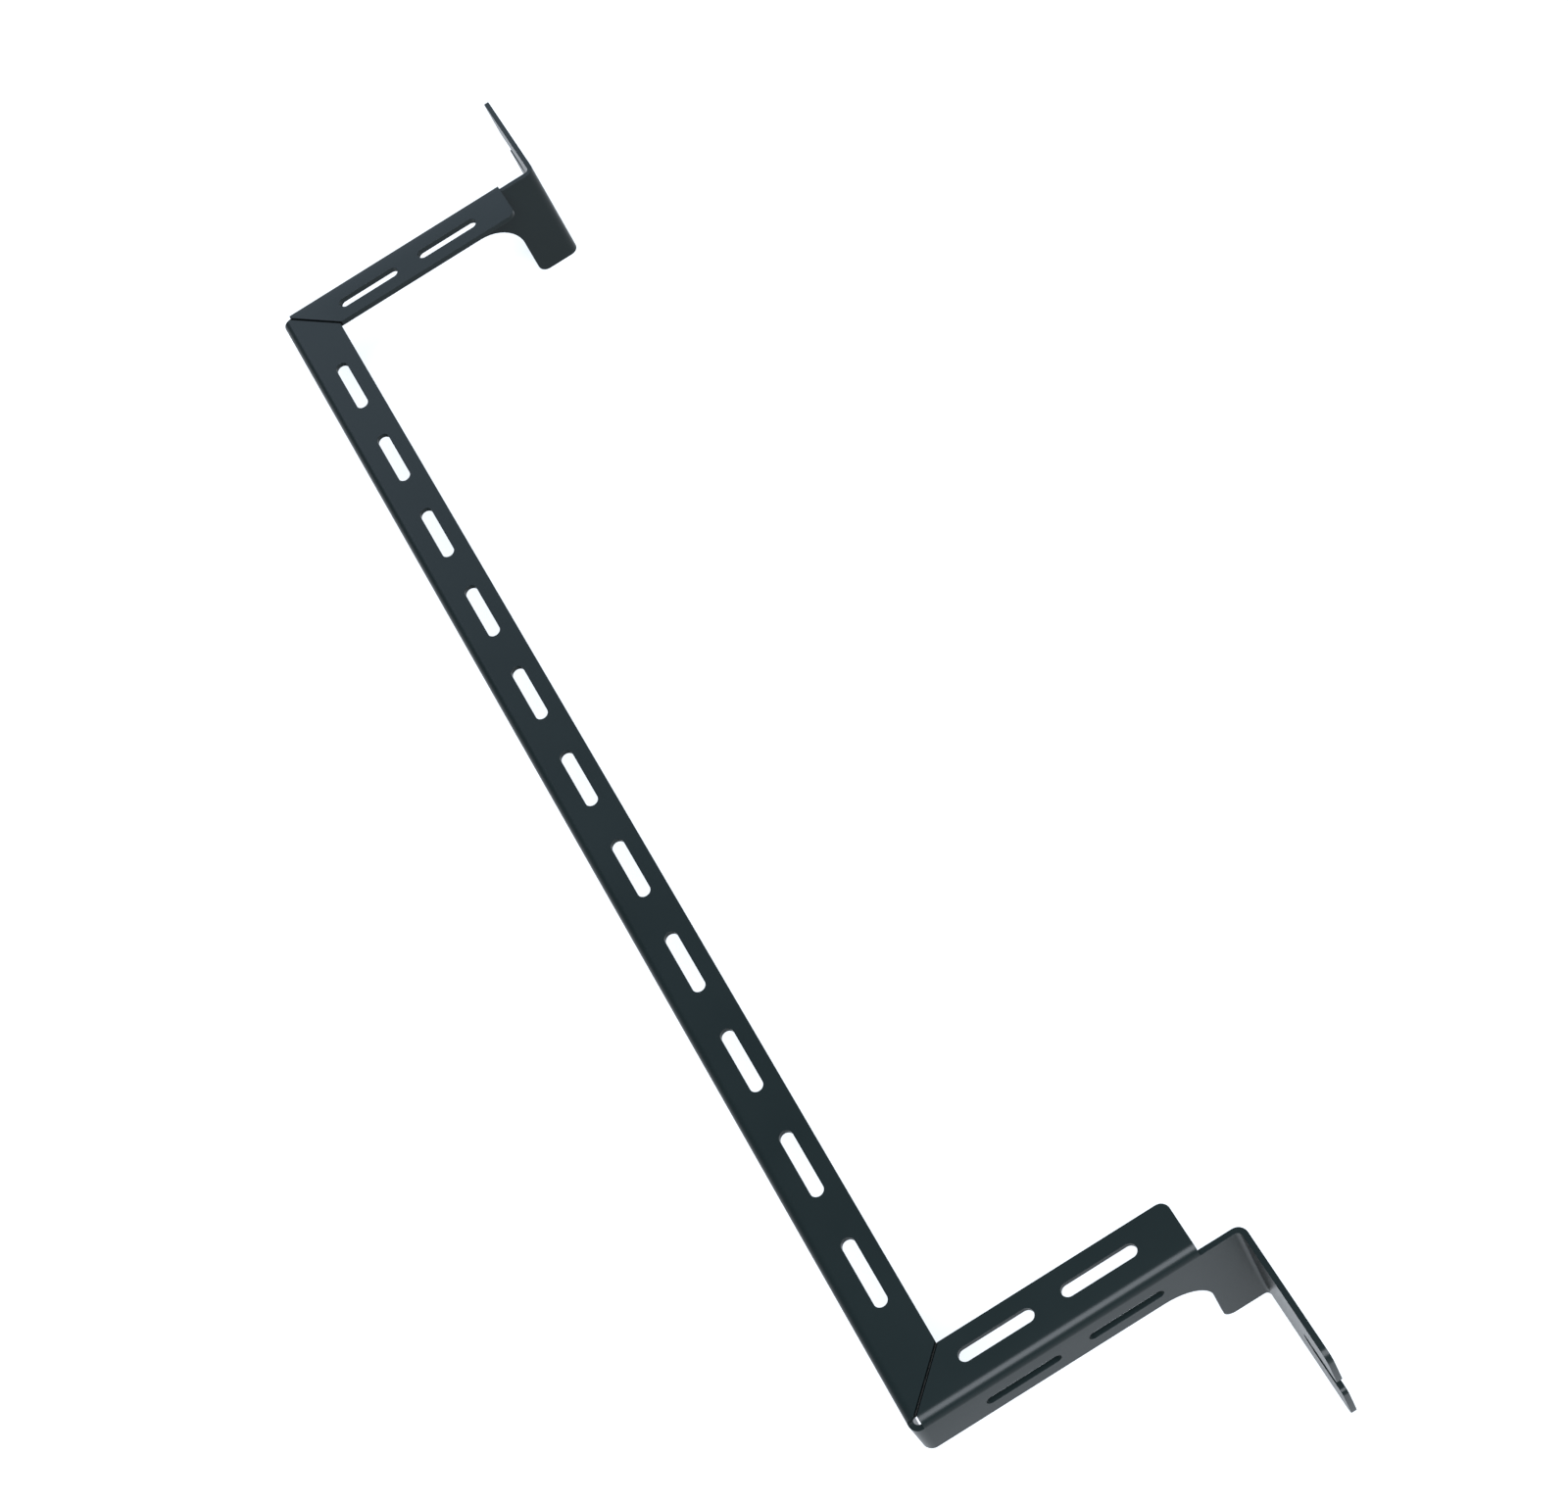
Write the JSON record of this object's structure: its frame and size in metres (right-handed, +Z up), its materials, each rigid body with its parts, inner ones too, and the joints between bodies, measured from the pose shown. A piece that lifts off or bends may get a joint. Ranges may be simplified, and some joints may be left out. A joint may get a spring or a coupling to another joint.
{
  "type": "offset lacing bar",
  "caption": "Slotted angle bar folded from steel sheet: arms with forked ears hold it off a rack's rails, and cable bundles are laced to its slots.",
  "frame": {"origin": "midway between the two screw slots, on the seating face of the ears", "axes": "+X along the bar, +Y out of the seating face towards the rack's rails, +Z up to the flange"},
  "size_m": [0.4826, 0.0883, 0.0409],
  "materials": {
    "powder_coat": "satin powder coat"
  },
  "bodies": {
    "root": {"lacing_bar": "powder_coat"}
  },
  "joints": []
}
